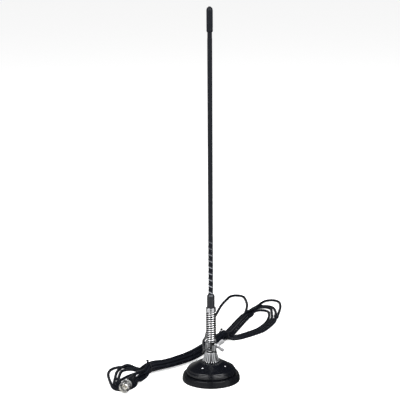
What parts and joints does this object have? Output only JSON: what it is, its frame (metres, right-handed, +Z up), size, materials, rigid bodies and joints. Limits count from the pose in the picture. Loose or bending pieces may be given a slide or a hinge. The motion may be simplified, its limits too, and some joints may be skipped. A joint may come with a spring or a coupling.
{
  "type": "magnetic mount whip antenna",
  "caption": "Whip antenna on a round magnetic base, with a fold-over joint, a shock spring, a wound sleeve, a coaxial lead tied in a hank and a screw-on plug.",
  "frame": {"origin": "middle of the magnetic base's underside", "axes": "+Z up along the whip, +X towards the wing lever, +Y towards the lead's loop behind the base"},
  "size_m": [0.327, 0.5667, 0.6456],
  "materials": {
    "black_rubber": "satin moulded rubber",
    "black_paint": "satin black paint",
    "dark_ferrite": "dull ferrite",
    "plated_steel": "zinc plated",
    "bright_chrome": "polished",
    "nickel": "nickel plated brass",
    "white_nylon": "matt",
    "dark_washer": "blackened steel",
    "dark_ferrule": "dark anodised",
    "glassfibre_rod": "matt glass fibre",
    "copper_winding": "enamelled copper",
    "black_sleeve": "satin shrink sleeve",
    "black_vinyl": "satin vinyl",
    "plug_insulator": "matt"
  },
  "bodies": {
    "base": {"rubber_boot": "black_rubber", "base_cover": "black_paint", "rivet_plate": "plated_steel", "rivet_1": "bright_chrome", "rivet_2": "bright_chrome", "rivet_3": "bright_chrome", "rivet_4": "bright_chrome", "magnet_ring": "dark_ferrite", "pole_plate": "plated_steel", "centre_stud": "plated_steel", "spacer_tube": "plated_steel", "clamp_nut": "plated_steel", "insulating_bush": "white_nylon", "bell_collar": "bright_chrome", "lower_knuckle": "bright_chrome", "friction_washer": "dark_washer", "strain_relief": "black_rubber", "cable_lead": "black_vinyl", "cable_hank": "black_vinyl", "cable_tail": "black_vinyl", "twist_tie_1": "black_vinyl", "twist_tie_2": "black_vinyl", "plug_boot": "black_rubber", "plug_shell": "nickel", "plug_insulator": "plug_insulator", "centre_pin": "nickel"},
    "tilt_head": {"upper_knuckle": "bright_chrome", "coil_spring": "bright_chrome"},
    "whip": {"spring_collar": "bright_chrome", "set_screw": "dark_washer", "ferrule": "dark_ferrule", "whip_core": "glassfibre_rod", "wound_sleeve": "black_sleeve", "loading_winding": "copper_winding", "smooth_sleeve": "black_sleeve", "tip_neck": "black_sleeve", "tip_cap": "black_sleeve"},
    "wing": {"clamp_screw": "plated_steel", "wing_lever": "bright_chrome"},
    "plug_ring": {"coupling_ring": "nickel"}
  },
  "joints": [
    {"name": "fold_over", "type": "hinge", "parent": "base", "child": "tilt_head", "pos_m": [0, 0, 0.061], "axis": [1, 0, 0], "range_deg": [-90, 90]},
    {"name": "spring_flex", "type": "hinge", "parent": "tilt_head", "child": "whip", "pos_m": [0, 0, 0.09657], "axis": [0, 1, 0], "range_deg": [-25, 25], "stiffness_Nm_per_rad": 6, "deforming": ["coil_spring"]},
    {"name": "wing_turn", "type": "hinge", "parent": "base", "child": "wing", "pos_m": [0.0095, 0, 0.061], "axis": [1, 0, 0], "continuous": true},
    {"name": "ring_turn", "type": "hinge", "parent": "base", "child": "plug_ring", "pos_m": [-0.1479, -0.0818, 0.0146], "axis": [0.3076, 0.9467, 0.0958], "continuous": true}
  ]
}
